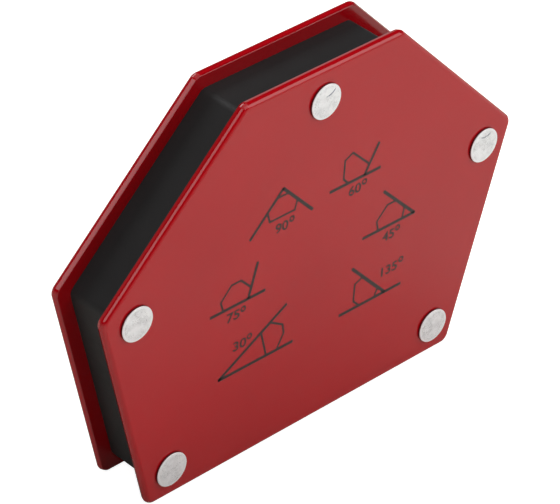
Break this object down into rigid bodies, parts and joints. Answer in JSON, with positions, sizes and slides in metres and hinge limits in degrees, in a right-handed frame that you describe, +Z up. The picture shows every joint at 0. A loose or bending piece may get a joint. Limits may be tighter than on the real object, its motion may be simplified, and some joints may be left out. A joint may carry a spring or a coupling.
{
  "type": "welding magnet holder",
  "caption": "Six-sided magnetic holder that sets two steel workpieces at a fixed angle for welding: red steel pole plates riveted over a recessed black moulded core.",
  "frame": {"origin": "middle of the base edge, halfway between the two plates", "axes": "+X along the base edge to the right, +Y from the front plate (the one with the angle signs) to the rear plate, +Z up from the base edge to the top edge"},
  "size_m": [0.1344, 0.0204, 0.1032],
  "materials": {
    "red_lacquer": "smooth gloss red stoving lacquer on steel sheet",
    "black_moulding": "satin black injection moulding",
    "ferrite": "dark grey pressed ferrite, two faces ground",
    "rivet_metal": "satin aluminium with press marks"
  },
  "bodies": {
    "root": {"front_plate": "red_lacquer", "rear_plate": "red_lacquer", "spacer_frame": "black_moulding", "magnet_lower_left": "ferrite", "magnet_lower_right": "ferrite", "magnet_middle_left": "ferrite", "magnet_middle_right": "ferrite", "magnet_upper_left": "ferrite", "magnet_upper_right": "ferrite", "rivet_top": "rivet_metal", "rivet_left_shoulder": "rivet_metal", "rivet_right_shoulder": "rivet_metal", "rivet_left_base": "rivet_metal", "rivet_right_base": "rivet_metal"}
  },
  "joints": []
}
